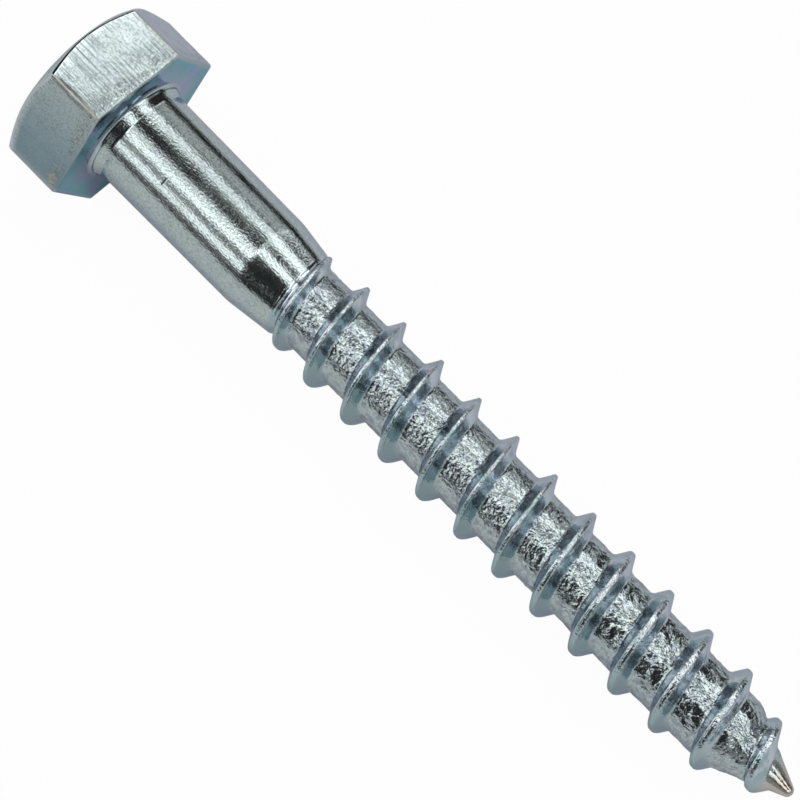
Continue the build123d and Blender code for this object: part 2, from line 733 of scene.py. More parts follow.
@dataclass
class RollingMarks:
    """What rolling and wear leave: a crinkled root, satin flanks, laps along the crest, a bare tip.

    Attributes:
        crinkle: Depth of the crinkles in the root.
        crinkles: Their unevenness.
        buckle: Depth of the slower buckles in the late turns.
        buckles: Their unevenness.
        lap_depth: Depth of the two laps along a late crest.
        lap_gap: Distance of a lap from the middle of the crest.
        lap_width: Half the width of a lap.
        ridge_rise: Heights over the core between which the satin flank sets in.
        crest_fade: Distance beside the crest over which its wear ends.
        root_fade: Distance behind the waist's step over which the crinkles set in.
        root_end: Distances from the tip's centre between which the crinkles set in.
        step_end: Distances past the end of the waist between which satin stops, the far one first.
        step_start: Distances past the end of the waist between which satin sets in.
        side_shade_rise: Sines of the turn from the top between which the film gets thicker, as painted
            shade on the sides of the thread.
        bare_rise: Distances from the end of the tip between which the plate gets thin, the far one first.
    """

    crinkle: float = 0.011
    crinkles: Relief = Relief(0.5, seed=21)
    buckle: float = 0.027
    buckles: Relief = Relief(1.3, seed=22)
    lap_depth: float = 0.016
    lap_gap: float = 0.1
    lap_width: float = 0.05
    ridge_rise: Pair = (-0.1, 0.15)
    crest_fade: float = 0.14
    root_fade: float = 0.6
    root_end: Pair = (1.6, 3.0)
    step_end: Pair = (1.6, 0.9)
    step_start: Pair = (-0.15, 0.1)
    side_shade_rise: Pair = (0.45, 1.0)
    bare_rise: Pair = (2.8, 1.4)

    def shares(
        self, thread: "Thread", grid: Grid, height: np.ndarray, point: Point
    ) -> dict[Mark, np.ndarray]:
        """Works out the marks of each point.

        Args:
            thread: Thread that was rolled.
            grid: Points on the thread.
            height: Height of the ridge over the core.
            point: Point that the root runs into.

        Returns:
            The shares by mark.
        """
        away = np.abs(grid.along - grid.centre)
        half_crest = thread.half_crest_at(grid)
        past_edge = grid.along - thread.edge_at(grid.turn)
        on_ridge = smooth_step(*self.ridge_rise, height)
        on_step = smooth_step(*self.step_end, past_edge)
        in_root = (1 - on_ridge) * smooth_step(0.0, self.root_fade, past_edge - thread.shoulder_length)
        return {
            Mark.CRINKLED: in_root * smooth_step(*self.root_end, point.tip_centre - grid.along),
            Mark.SATIN: np.maximum(on_ridge, on_step) * smooth_step(*self.step_start, past_edge),
            Mark.WORN: smooth_step(half_crest + self.crest_fade, half_crest, away) * on_ridge,
            # Film share rises towards the sides of the thread: painted shade
            Mark.FILM_AND_SHADE: smooth_step(*self.side_shade_rise, np.abs(np.sin(grid.angle))),
            Mark.BARE: smooth_step(*self.bare_rise, point.length - grid.along),
        }

    def uneven(self, thread: "Thread", grid: Grid, radius: np.ndarray, in_root: np.ndarray) -> np.ndarray:
        """Works out how far crinkles and buckles lift the root.

        Args:
            thread: Thread that was rolled.
            grid: Points on the thread.
            radius: Radius of the even surface.
            in_root: Share of root.

        Returns:
            A height for each point.
        """
        spots = place(grid.along, radius, grid.angle).reshape(-1, 3)
        crinkled = self.crinkle * self.crinkles.at(spots).reshape(radius.shape)
        buckled = self.buckle * self.buckles.at(spots).reshape(radius.shape)
        return in_root * (crinkled + buckled * thread.blunt_at(grid))

    def laps(self, thread: "Thread", grid: Grid, height: np.ndarray) -> np.ndarray:
        """Works out how deep the laps along the late crests are.

        Args:
            thread: Thread that was rolled.
            grid: Points on the thread.
            height: Height of the ridge over the core.

        Returns:
            A depth for each point.
        """
        offset = grid.along - grid.centre
        sides = (-self.lap_gap, self.lap_gap)
        folds = sum(np.exp(-(((offset - side) / self.lap_width) ** 2)) for side in sides)
        return self.lap_depth * folds * (height > 0) * thread.blunt_at(grid)


@dataclass
class Thread:
    """Coarse right-hand wood thread, rolled between the waist and the point.

    Attributes:
        start: Middle of the ridge where it leaves the waist, from the bearing face.
        start_turn: Angle at which it leaves the waist, in radians.
        early_turn: Share of a turn before that from which the ridge is drawn, under the waist.
        pitch: Distance between two turns.
        late_start: How late the first turn lies.
        late_turns: Turns after which the ridge has its true place.
        root_radius: Radius of the thread's root.
        root_fillet: Height over which the root goes over into a flank.
        crest_radius: Radius of the full crest.
        crest_width: Width of the crest.
        crest_round: Height over which a flank goes over into the crest.
        flank_angle: Slope of each flank to a cut across the screw, in radians.
        blunt_span: Distances between which the crest gets blunter.
        blunt_spread: How much wider a blunt crest is.
        blunt_round: How much rounder it is, as a share.
        rise_length: Distance over which the crest rises out of the waist.
        fall_start: Distance from the bearing face at which the crest starts to die away.
        fall_length: Distance over which the crest dies away.
        lean: How much lower the crest is on one side near the point.
        lean_turn: Angle of that side, in radians.
        lean_rise: Distances between which the crest starts to lean.
        lean_fall: Distances between which it stops, the far one first.
        shoulder_start: Where the waist ends at the start of the ridge.
        shoulder_drift: How far the end of the waist moves along in one turn.
        shoulder_return: Share of a turn after which it goes back to its start.
        shoulder_length: Length of the step from the waist to the root.
        lower: Where the grid of the thread begins.
        spare_turns: Turns of the grid before the start of the ridge and past its end.
        offsets: Distances from the middle of the ridge at which the grid has its rows.
        marks: What rolling and wear leave on the thread.
    """

    start: float = 19.0
    start_turn: float = math.radians(-121)
    early_turn: float = 0.25
    pitch: float = 4.55
    late_start: float = 0.6
    late_turns: float = 1.9
    root_radius: float = 3.5
    root_fillet: float = 0.3
    crest_radius: float = 4.8
    crest_width: float = 0.3
    crest_round: float = 0.11
    flank_angle: float = math.radians(30)
    blunt_span: Pair = (46.0, 58.0)
    blunt_spread: float = 0.24
    blunt_round: float = 1.6
    rise_length: float = 6.5
    fall_start: float = 69.5
    fall_length: float = 9.7
    lean: float = 0.25
    lean_turn: float = math.radians(115)
    lean_rise: Pair = (60.0, 68.0)
    lean_fall: Pair = (77.0, 73.0)
    shoulder_start: float = 19.5
    shoulder_drift: float = 2.3
    shoulder_return: float = 0.88
    shoulder_length: float = 0.7
    lower: float = 18.0
    spare_turns: int = 2
    offsets: tuple[float, ...] = (
        *(0.05, 0.1, 0.15, 0.2, 0.27, 0.36, 0.52, 0.7, 0.8, 0.88),
        *(0.97, 1.08, 1.22, 1.36, 1.5, 1.65, 1.8, 1.95, 2.1),
    )
    marks: RollingMarks = field(default_factory=RollingMarks)

    def columns(self) -> np.ndarray:
        """Angles of the columns, evenly spaced from the start of the ridge."""
        return self.start_turn + FULL_TURN * np.arange(COLUMNS) / COLUMNS

    def helix_at(self, turns: np.ndarray) -> np.ndarray:
        """Distance along after some turns: the first turns lie a little late."""
        late = self.late_start * (1 - smooth_step(0, self.late_turns, turns))
        return self.start + self.pitch * turns + late

    def blunt_at(self, grid: Grid) -> np.ndarray:
        """Share to which the nearest crest is blunt."""
        return smooth_step(*self.blunt_span, grid.centre)

    def half_crest_at(self, grid: Grid) -> np.ndarray:
        """Half the width of the nearest crest."""
        return (self.crest_width + self.blunt_spread * self.blunt_at(grid)) / 2

    def edge_at(self, turn: np.ndarray) -> np.ndarray:
        """Where the waist ends, at some turns, from 0 to 1, from the start of the ridge."""
        back = smooth_step(self.shoulder_return, 1.0, turn)
        return self.shoulder_start + self.shoulder_drift * (turn - back)

    def grid(self, point: Point) -> Grid:
        """Lays out the points of the thread on lines that follow the ridge round the screw.

        Args:
            point: Point that the root runs into.

        Returns:
            The points.
        """
        steps = [*(-step for step in reversed(self.offsets)), 0.0, *self.offsets, self.pitch / 2]
        last_turn = math.ceil((point.tip_centre - self.start) / self.pitch)
        numbers = np.arange(-self.spare_turns, last_turn + self.spare_turns)
        share = np.arange(COLUMNS) / COLUMNS
        turns = np.repeat(numbers, len(steps))[:, None] + share
        offset = np.tile(steps, len(numbers))[:, None]
        along = np.clip(self.helix_at(turns + offset / self.pitch), self.lower, point.tip_centre)
        turn = np.broadcast_to(share, along.shape)
        angle = np.broadcast_to(self.columns(), along.shape)
        return Grid(along, self.helix_at(turns), turn, angle, len(steps))

    def core_at(self, grid: Grid, shank: Shank, point: Point) -> np.ndarray:
        """Works out the radius of the core under the ridge.

        Args:
            grid: Points on the thread.
            shank: Shank that the waist belongs to.
            point: Point that the root runs into.

        Returns:
            A radius for each point.
        """
        edge = self.edge_at(grid.turn)
        into_step = np.clip((grid.along - edge) / self.shoulder_length, 0, 1)
        waist = shank.waist_at(np.minimum(grid.along, edge + self.shoulder_length))
        body = waist + (self.root_radius - waist) * into_step
        return np.minimum(body, point.cone_at(grid.along))

    def crest_at(self, grid: Grid, waist_radius: float) -> np.ndarray:
        """Works out the radius of the crest: it rises out of the waist and dies away on the point.

        Args:
            grid: Points on the thread.
            waist_radius: Radius at the thin end of the waist.

        Returns:
            A radius for each point.
        """
        rise = np.clip((grid.centre - self.start) / self.rise_length, -1, 1)
        fall = np.maximum(grid.centre - self.fall_start, 0) / self.fall_length
        upright = waist_radius + (self.crest_radius - waist_radius) * rise - self.crest_radius * fall**2
        low_side = (1 + np.cos(grid.angle - self.lean_turn)) / 2
        leaning = smooth_step(*self.lean_rise, grid.centre) * smooth_step(*self.lean_fall, grid.centre)
        return upright - self.lean * low_side * leaning

    def ridge_at(self, grid: Grid, waist_radius: float) -> np.ndarray:
        """Works out the radius of the ridge, with its rounded crest.

        Args:
            grid: Points on the thread.
            waist_radius: Radius at the thin end of the waist.

        Returns:
            A radius for each point, which is 0 before the ridge begins.
        """
        away = np.abs(grid.along - grid.centre)
        crest = self.crest_at(grid, waist_radius)
        flank = crest + (self.half_crest_at(grid) - away) / math.tan(self.flank_angle)
        rounding = self.crest_round * (1 + self.blunt_round * self.blunt_at(grid))
        begun = grid.centre >= self.start - self.early_turn * self.pitch
        return np.where(begun, -blended_max(-crest, -flank, rounding), 0.0)

    def build(self, skin: Skin, last: np.ndarray, shank: Shank, point: Point) -> np.ndarray:
        """Covers the thread.

        Args:
            skin: Surface that takes the thread.
            last: Numbers of the ring where the waist stops.
            shank: Shank that the waist belongs to.
            point: Point that the root runs into.

        Returns:
            Numbers of the ring where the tip begins.
        """
        grid = self.grid(point)
        core = self.core_at(grid, shank, point)
        ridge = self.ridge_at(grid, shank.waist_radius)
        even = blended_max(core, ridge, self.root_fillet)
        shares = self.marks.shares(self, grid, ridge - core, point)
        uneven = self.marks.uneven(self, grid, even, shares[Mark.CRINKLED])
        radius = even + uneven - self.marks.laps(self, grid, ridge - core)
        numbers = skin.add(place(grid.along, radius, grid.angle), **shares)
        self.cover(skin, numbers, grid.rows)
        skin.cover(last, numbers[0], Zone.DRAWN)
        return numbers[-1]

    def cover(self, skin: Skin, numbers: np.ndarray, rows: int) -> None:
        """Spans the grid with faces, one turn joined to the next.

        Args:
            skin: Surface that takes the faces.
            numbers: Numbers of the points, one row to a line along the ridge.
            rows: Rows from one turn to the next.
        """
        following = np.empty_like(numbers)
        following[:, :-1] = numbers[:, 1:]
        following[:, -1] = np.concatenate([numbers[rows:, 0], np.full(rows, numbers[-1, 0])])
        quads = np.stack([numbers[:-1], following[:-1], following[1:], numbers[1:]], axis=-1)
        skin.patch(quads.reshape(-1, 4), Zone.ROLLED)


@dataclass(frozen=True)
class ZincPlate:
    """Bright electroplated zinc with a thin blue passivation, over steel that was left as worked.

    A thin bright metal coat copies the steel under it, so what the eye sees is a cool grey mirror,
    broken by the grain of the tool that worked that face. The passivation film tints it. The crystals
    that frost real plate are too fine to show, so the specks that stand for them are drawn coarser.

    Attributes:
        name: Name of the material.
        roughness: Mean roughness.
        roughness_spread: How far the roughness strays.
        grain: Length along the screw and width across it of the grain.
        grain_slope: How steep the grain is.
        roughness_edges: Range of the pattern over which the roughness strays.
        wave_size: Width of the slow unevenness.
        wave_stretch: How much longer than wide it is.
        wave_slope: How steep it is.
        tone: Colour of the plate.
        edge_tone: Tint of the plate where it is seen at a flat angle.
        tint: Colour of the film where it is thicker.
        tint_size: Size of the tinted clouds.
        tint_edges: Range of the pattern over which a cloud sets in.
        tint_share: How far the tint goes.
        speck: Colour of the specks that make the plate look frosted.
        speck_size: Length along the screw and width across it of a speck.
        speck_edges: Range of the pattern over which a speck sets in.
        speck_share: How far the specks go.
    """

    name: str
    roughness: float
    roughness_spread: float
    grain: Pair
    grain_slope: float
    roughness_edges: Pair = (0.3, 0.7)
    wave_size: float = 2.5
    wave_stretch: float = 2.0
    wave_slope: float = 0.01
    tone: str = "#C2CFCE"
    edge_tone: str = "#DADCE9"
    tint: str = "#C1CBD7"
    tint_size: float = 2.6
    tint_edges: Pair = (0.42, 0.62)
    tint_share: float = 0.3
    speck: str = "#8A9492"
    speck_size: Pair = (0.2, 0.13)
    speck_edges: Pair = (0.46, 0.64)
    speck_share: float = 0.6

    def pattern(self, tree: bpy.types.NodeTree, cells: Pair, detail: float = 2.0) -> Socket:
        """Makes a cloudy pattern whose cells have a real size on the screw.

        Args:
            tree: Node tree of the material.
            cells: Length along the screw and width across it of one cell.
            detail: Finer layers that are added.

        Returns:
            A height from 0 to 1.
        """
        along, across = cells
        scale = (1 / along, 1 / across, 1 / across)
        where = add_node(tree, "ShaderNodeAttribute", attribute_name=PLACE).outputs["Vector"]
        cell = add_node(tree, "ShaderNodeVectorMath", {0: where, 1: scale}, operation="MULTIPLY")
        inputs = {"Vector": cell.outputs[0], "Scale": 1.0, "Detail": detail, "Roughness": NOISE_FADE}
        return add_node(tree, "ShaderNodeTexNoise", inputs).outputs["Fac"]

    def patches(
        self,
        tree: bpy.types.NodeTree,
        cells: Pair,
        edges: Pair,
        most: float | Socket = 1.0,
        least: float | Socket = 0.0,
        detail: float = 2.0,
        ease: Ease = Ease.EVEN,
    ) -> Socket:
        """Makes patches that have a real size on the screw.

        Args:
            tree: Node tree of the material.
            cells: Length along the screw and width across it of one patch.
            edges: Range of the pattern over which a patch sets in.
            most: Value in a patch.
            least: Value between the patches.
            detail: Finer layers of the pattern.
            ease: How a patch sets in.

        Returns:
            The value.
        """
        low, high = edges
        limits = {"From Min": low, "From Max": high, "To Min": least, "To Max": most}
        inputs = {"Value": self.pattern(tree, cells, detail), **limits}
        return add_node(tree, "ShaderNodeMapRange", inputs, interpolation_type=ease).outputs[0]

    def bumps(
        self,
        tree: bpy.types.NodeTree,
        cells: Pair,
        slope: float,
        detail: float = 1.0,
        mark: Mark | None = None,
    ) -> Layer:
        """Makes a layer of bumps that have a real size and slope.

        Args:
            tree: Node tree of the material.
            cells: Length along the screw and width across it of one bump.
            slope: How steep the bumps are.
            detail: Finer layers of the pattern.
            mark: Mark of the points that have bumps, if not all of them do.

        Returns:
            The layer.
        """
        height = self.pattern(tree, cells, detail)
        if mark is not None:
            share = add_node(tree, "ShaderNodeAttribute", attribute_name=mark).outputs["Fac"]
            marked = {0: height, 1: share}
            height = add_node(tree, "ShaderNodeMath", marked, operation="MULTIPLY").outputs[0]
        return height, slope * cells[1] / NOISE_RISE

    def relief(self, tree: bpy.types.NodeTree) -> list[Layer]:
        """Layers of unevenness, the slow one first."""
        wave = self.bumps(tree, (self.wave_stretch * self.wave_size, self.wave_size), self.wave_slope)
        return [wave, self.bumps(tree, self.grain, self.grain_slope, detail=0.5)]

    def coats(self, tree: bpy.types.NodeTree) -> list[Coat]:
        """Lists what lies on the plate: clouds of the film's tint, and specks.

        Args:
            tree: Node tree of the material.

        Returns:
            The coats, the lowest first.
        """
        clouds = self.patches(tree, (self.tint_size, self.tint_size), self.tint_edges, self.tint_share)
        specks = self.patches(tree, self.speck_size, self.speck_edges, self.speck_share, detail=1.0)
        return [(clouds, linear(self.tint)), (specks, linear(self.speck))]

    def levels(self) -> dict[Mark, float]:
        """Roughness of the marked points, where working or wear gave them one of their own."""
        return {}

    def coated(self, tree: bpy.types.NodeTree, ground: str, coats: list[Coat]) -> Socket:
        """Lays coats on a ground.

        Args:
            tree: Node tree of the material.
            ground: Colour of the ground.
            coats: Coats, the lowest first.

        Returns:
            The colour.
        """
        colour = linear(ground)
        for share, tone in coats:
            inputs = {MIX_SHARE: share, MIX_FROM: colour, MIX_TO: tone}
            colour = add_node(tree, "ShaderNodeMix", inputs, data_type="RGBA").outputs[MIXED]
        return colour

    def dulled(self, tree: bpy.types.NodeTree) -> Socket:
        """Lets the roughness stray in patches, and gives marked points their own.

        Args:
            tree: Node tree of the material.

        Returns:
            The roughness.
        """
        cells = (self.wave_size, self.wave_size / self.wave_stretch)
        low = self.roughness - self.roughness_spread
        high = self.roughness + self.roughness_spread
        roughness = self.patches(tree, cells, self.roughness_edges, high, least=low)
        for mark, level in self.levels().items():
            share = add_node(tree, "ShaderNodeAttribute", attribute_name=mark).outputs["Fac"]
            limits = {"Value": share, "To Min": roughness, "To Max": level}
            roughness = add_node(tree, "ShaderNodeMapRange", limits).outputs[0]
        return roughness

    def make(self) -> bpy.types.Material:
        """Makes the material.

        Returns:
            The material, ready for a slot.
        """
        material = bpy.data.materials.new(self.name)
        material.use_nodes = True
        tree = material.node_tree
        shader = tree.nodes["Principled BSDF"]
        shader.inputs["Metallic"].default_value = 1.0
        shader.inputs["Specular Tint"].default_value = linear(self.edge_tone)
        normal = None
        for height, depth in self.relief(tree):
            inputs = {"Height": height, "Distance": abs(depth) * MM, "Strength": 1.0}
            if normal is not None:
                inputs["Normal"] = normal
            normal = add_node(tree, "ShaderNodeBump", inputs, invert=depth < 0).outputs["Normal"]
        tree.links.new(normal, shader.inputs["Normal"])
        tree.links.new(self.coated(tree, self.tone, self.coats(tree)), shader.inputs["Base Color"])
        tree.links.new(self.dulled(tree), shader.inputs["Roughness"])
        return material


@dataclass(frozen=True)
class DrawnPlate(ZincPlate):
    """Zinc over drawn wire: a mirror with short streaks along the wire and fine pits.

    Attributes:
        pit_size: Width of a pit.
        pit_slope: How steep the pits are.
        dents: Places of the dents that knocks have left.
        dent_reach: How far a dent reaches from its middle, along the screw and across it.
        dent_floor: Share of that reach over which a dent is deepest.
        dent_depth: Depth of a dent.
        dent_shade_tone: Colour painted into a dent as shade.
    """

    roughness: float = 0.14
    roughness_spread: float = 0.04
    grain: Pair = (0.3, 0.15)
    grain_slope: float = 0.046
    pit_size: float = 0.13
    pit_slope: float = 0.03
    dents: tuple[tuple[float, float, float], ...] = ()
    dent_reach: Pair = (0.12, 0.48)
    dent_floor: float = 0.4
    dent_depth: float = 0.02
    dent_shade_tone: str = "#6E7776"

    def dent_share(self, tree: bpy.types.NodeTree, dent: tuple[float, float, float]) -> Socket:
        """Works out how much of a place is in a dent.

        Args:
            tree: Node tree of the material.
            dent: Place of the dent.

        Returns:
            The share, from 0 to 1.
        """
        along, across = self.dent_reach
        scale = (1 / along, 1 / across, 1 / across)
        where = add_node(tree, "ShaderNodeAttribute", attribute_name=PLACE).outputs["Vector"]
        away = add_node(tree, "ShaderNodeVectorMath", {0: where, 1: dent}, operation="SUBTRACT")
        reach = {0: away.outputs[0], 1: scale}
        steps = add_node(tree, "ShaderNodeVectorMath", reach, operation="MULTIPLY")
        far = add_node(tree, "ShaderNodeVectorMath", {0: steps.outputs[0]}, operation="LENGTH")
        limits = {"From Min": self.dent_floor, "From Max": 1.0, "To Min": 1.0, "To Max": 0.0}
        inputs = {"Value": far.outputs["Value"], **limits}
        return add_node(tree, "ShaderNodeMapRange", inputs).outputs[0]

    def relief(self, tree: bpy.types.NodeTree) -> list[Layer]:
        """Adds fine pits to the streaks, and the dents.

        Args:
            tree: Node tree of the material.

        Returns:
            The layers.
        """
        pits = self.bumps(tree, (self.pit_size, self.pit_size), self.pit_slope)
        dents = [(self.dent_share(tree, dent), -self.dent_depth) for dent in self.dents]
        return [*super().relief(tree), pits, *dents]

    def coats(self, tree: bpy.types.NodeTree) -> list[Coat]:
        """Paints shade into the dents."""
        # Painted shade: each dent is darkened
        dents = [(self.dent_share(tree, dent), linear(self.dent_shade_tone)) for dent in self.dents]
        return [*super().coats(tree), *dents]


@dataclass(frozen=True)
class RolledPlate(DrawnPlate):
    """Zinc over a rolled thread: satin flanks, worn crests, and a root crinkled like crushed foil.

    Attributes:
        crinkle_size: Width of a crinkle in the root.
        crinkle_slope: How steep the crinkles are.
        nick_size: Width of a nick in the crest.
        nick_slope: How steep the nicks are.
        flank_wave: Size of the slow unevenness of the flanks.
        wave_rise: How steep that unevenness is.
        fleck: Colour of the dull flecks in the root.
        fleck_size: Width of a fleck.
        fleck_edges: Range of the pattern over which a fleck sets in.
        fleck_share: How far the flecks go.
        flank_tone: Colour of the flanks.
        flank_film_and_shade: Colour of the flanks where the film is thicker, in random clouds and, as
            painted shade, on the sides of the thread.
        film_size: Size of the clouds of that film.
        film_edges: Range of the pattern over which that film sets in.
        bare_tone: Colour of the tip, where the plate is thin.
        root_roughness: Roughness of the root.
        flank_roughness: Roughness of the flanks.
        crest_roughness: Roughness of the crests, which other screws have rubbed.
    """

    crinkle_size: float = 0.3
    crinkle_slope: float = 0.12
    nick_size: float = 0.24
    nick_slope: float = 0.17
    flank_wave: float = 1.1
    wave_rise: float = 0.04
    fleck: str = "#8E97A4"
    fleck_size: float = 0.55
    fleck_edges: Pair = (0.49, 0.58)
    fleck_share: float = 0.6
    flank_tone: str = "#D5DEE4"
    flank_film_and_shade: str = "#A8BDC1"
    film_size: float = 1.8
    film_edges: Pair = (0.47, 0.64)
    bare_tone: str = "#C4BEB4"
    root_roughness: float = 0.19
    flank_roughness: float = 0.14
    crest_roughness: float = 0.23

    def relief(self, tree: bpy.types.NodeTree) -> list[Layer]:
        """Adds crinkles in the root, nicks on the crest and slow waves on the flanks.

        Args:
            tree: Node tree of the material.

        Returns:
            The layers.
        """
        kinds = (
            (Mark.CRINKLED, self.crinkle_size, self.crinkle_slope),
            (Mark.WORN, self.nick_size, self.nick_slope),
            (Mark.SATIN, self.flank_wave, self.wave_rise),
        )
        marked = [self.bumps(tree, (size, size), slope, mark=mark) for mark, size, slope in kinds]
        return [*super().relief(tree), *marked]

    def coats(self, tree: bpy.types.NodeTree) -> list[Coat]:
        """Flecks the root, clouds the flanks with film, thickest on the sides of the thread as painted
        shade, and lets the steel show at the tip.

        Args:
            tree: Node tree of the material.

        Returns:
            The coats, the lowest first.
        """
        in_root, on_flank, side_shade, at_tip = (
            add_node(tree, "ShaderNodeAttribute", attribute_name=mark).outputs["Fac"]
            for mark in (Mark.CRINKLED, Mark.SATIN, Mark.FILM_AND_SHADE, Mark.BARE)
        )
        spots = self.patches(tree, (self.fleck_size, self.fleck_size), self.fleck_edges, self.fleck_share)
        flecks = add_node(tree, "ShaderNodeMath", {0: spots, 1: in_root}, operation="MULTIPLY").outputs[0]
        # The film is at least the side share, which darkens the sides of the thread as painted shade
        film = self.patches(tree, (self.film_size, self.film_size), self.film_edges, least=side_shade)
        flank = self.coated(tree, self.flank_tone, [(film, linear(self.flank_film_and_shade))])
        return [
            *super().coats(tree),
            (flecks, linear(self.fleck)),
            (on_flank, flank),
            (at_tip, linear(self.bare_tone)),
        ]

    def levels(self) -> dict[Mark, float]:
        """Roughness of the root, the flanks and the crests."""
        return {
            Mark.CRINKLED: self.root_roughness,
            Mark.SATIN: self.flank_roughness,
            Mark.WORN: self.crest_roughness,
        }


@dataclass(frozen=True)
class TrimmedPlate(ZincPlate):
    """Zinc over trimmed flats: drag lines along the screw, and a torn, pitted strip at the foot.

    Attributes:
        drag: Length and spacing of the drag lines.
        drag_slope: How steep the sides of a drag line are.
        drag_edges: Range of the pattern over which a drag line sinks in.
        drag_patch: Size of the patches that have drag lines.
        patch_edges: Range of the pattern over which such a patch sets in.
        bare_limit: Share of film above which no drag lines show.
        tear_size: Width of a pit on the torn strip.
        tear_slope: How steep those pits are.
        tear_edges: Range of the pattern over which such a pit sinks in.
        side_share: Share of a drag line's spacing or of a pit's width that one of its sides takes.
        film_and_shade_tone: Colour of the film on the flats, which lies thickest on the side and front
            flats as painted shade.
        rubbed: Colour of the spots where the film is rubbed off.
        rubbed_size: Size of those spots.
        rubbed_edges: Range of the pattern over which such a spot sets in.
        rubbed_share: How far those spots go.
        foot_edges: Range of the torn share over which they set in.
        hollow_shade_tone: Colour painted into the drag lines and the pits as shade.
        hollow_shade_share: How far that painted shade goes.
        corner_tone: Colour of the corners, which other screws have rubbed.
        corner_roughness: Roughness of those corners.
    """

    roughness: float = 0.2
    roughness_spread: float = 0.06
    grain: Pair = (3.0, 0.12)
    grain_slope: float = 0.035
    drag: Pair = (14.0, 0.2)
    drag_slope: float = 0.4
    drag_edges: Pair = (0.5, 0.6)
    drag_patch: float = 3.2
    patch_edges: Pair = (0.35, 0.52)
    bare_limit: float = 0.2
    tear_size: float = 0.22
    tear_slope: float = 0.36
    tear_edges: Pair = (0.46, 0.62)
    side_share: float = 0.25
    film_and_shade_tone: str = "#6E8B97"
    rubbed: str = "#C3B9A9"
    rubbed_size: float = 1.4
    rubbed_edges: Pair = (0.34, 0.56)
    rubbed_share: float = 0.8
    foot_edges: Pair = (0.3, 0.7)
    hollow_shade_tone: str = "#707B7D"
    hollow_shade_share: float = 0.38
    corner_tone: str = "#D3CFC6"
    corner_roughness: float = 0.42

    def drag_lines(self, tree: bpy.types.NodeTree) -> Socket:
        """Draws the drag lines, in patches of the flats without a film.

        Args:
            tree: Node tree of the material.

        Returns:
            The share of drag line, from 0 to 1.
        """
        film = add_node(tree, "ShaderNodeAttribute", attribute_name=Mark.FILM_AND_SHADE).outputs["Fac"]
        limits = {"Value": film, "From Max": self.bare_limit, "To Min": 1.0, "To Max": 0.0}
        bare = add_node(tree, "ShaderNodeMapRange", limits).outputs[0]
        cells = (self.drag_patch, self.drag_patch)
        dragged = self.patches(tree, cells, self.patch_edges, bare, detail=0.0)
        return self.patches(tree, self.drag, self.drag_edges, dragged, detail=0.0, ease=Ease.SOFT)

    def pits(self, tree: bpy.types.NodeTree) -> Socket:
        """Draws the pits of the torn strip.

        Args:
            tree: Node tree of the material.

        Returns:
            The share of pit, from 0 to 1.
        """
        torn = add_node(tree, "ShaderNodeAttribute", attribute_name=Mark.TORN).outputs["Fac"]
        cells = (self.tear_size, self.tear_size)
        return self.patches(tree, cells, self.tear_edges, torn, detail=1.0, ease=Ease.SOFT)

    def relief(self, tree: bpy.types.NodeTree) -> list[Layer]:
        """Sinks drag lines into the flats without a film, and pits into the torn strip.

        Args:
            tree: Node tree of the material.

        Returns:
            The layers.
        """
        drag_depth = self.drag_slope * self.drag[1] * self.side_share
        pit_depth = self.tear_slope * self.tear_size * self.side_share
        sunk = [(self.drag_lines(tree), -drag_depth), (self.pits(tree), -pit_depth)]
        return [*super().relief(tree), *sunk]

    def coats(self, tree: bpy.types.NodeTree) -> list[Coat]:
        """Lays a film over the flats, thickest on the side and front flats as painted shade, rubs it off at
        their foot, and adds painted shade in the drag lines and pits, and worn corners.

        Args:
            tree: Node tree of the material.

        Returns:
            The coats, the lowest first.
        """
        film, torn, worn = (
            add_node(tree, "ShaderNodeAttribute", attribute_name=mark).outputs["Fac"]
            for mark in (Mark.FILM_AND_SHADE, Mark.TORN, Mark.WORN)
        )
        low, high = self.foot_edges
        limits = {"Value": torn, "From Min": low, "From Max": high, "To Max": film}
        foot = add_node(tree, "ShaderNodeMapRange", limits).outputs[0]
        cells = (self.rubbed_size, self.rubbed_size)
        spots = self.patches(tree, cells, self.rubbed_edges, self.rubbed_share)
        rub = add_node(tree, "ShaderNodeMath", {0: spots, 1: foot}, operation="MULTIPLY").outputs[0]
        # Painted shade: the drag lines and pits are darkened
        sunk = {0: self.drag_lines(tree), 1: self.pits(tree)}
        hollow = add_node(tree, "ShaderNodeMath", sunk, operation="MAXIMUM").outputs[0]
        filled = {0: hollow, 1: self.hollow_shade_share}
        hollow_shade_tone = add_node(tree, "ShaderNodeMath", filled, operation="MULTIPLY").outputs[0]
        return [
            *super().coats(tree),
            # Film share laid by which way a flat faces: painted shade on the side and front flats
            (film, linear(self.film_and_shade_tone)),
            (rub, linear(self.rubbed)),
            (hollow_shade_tone, linear(self.hollow_shade_tone)),
            (worn, linear(self.corner_tone)),
        ]

    def levels(self) -> dict[Mark, float]:
        """Roughness of the worn corners."""
        return {Mark.WORN: self.corner_roughness}


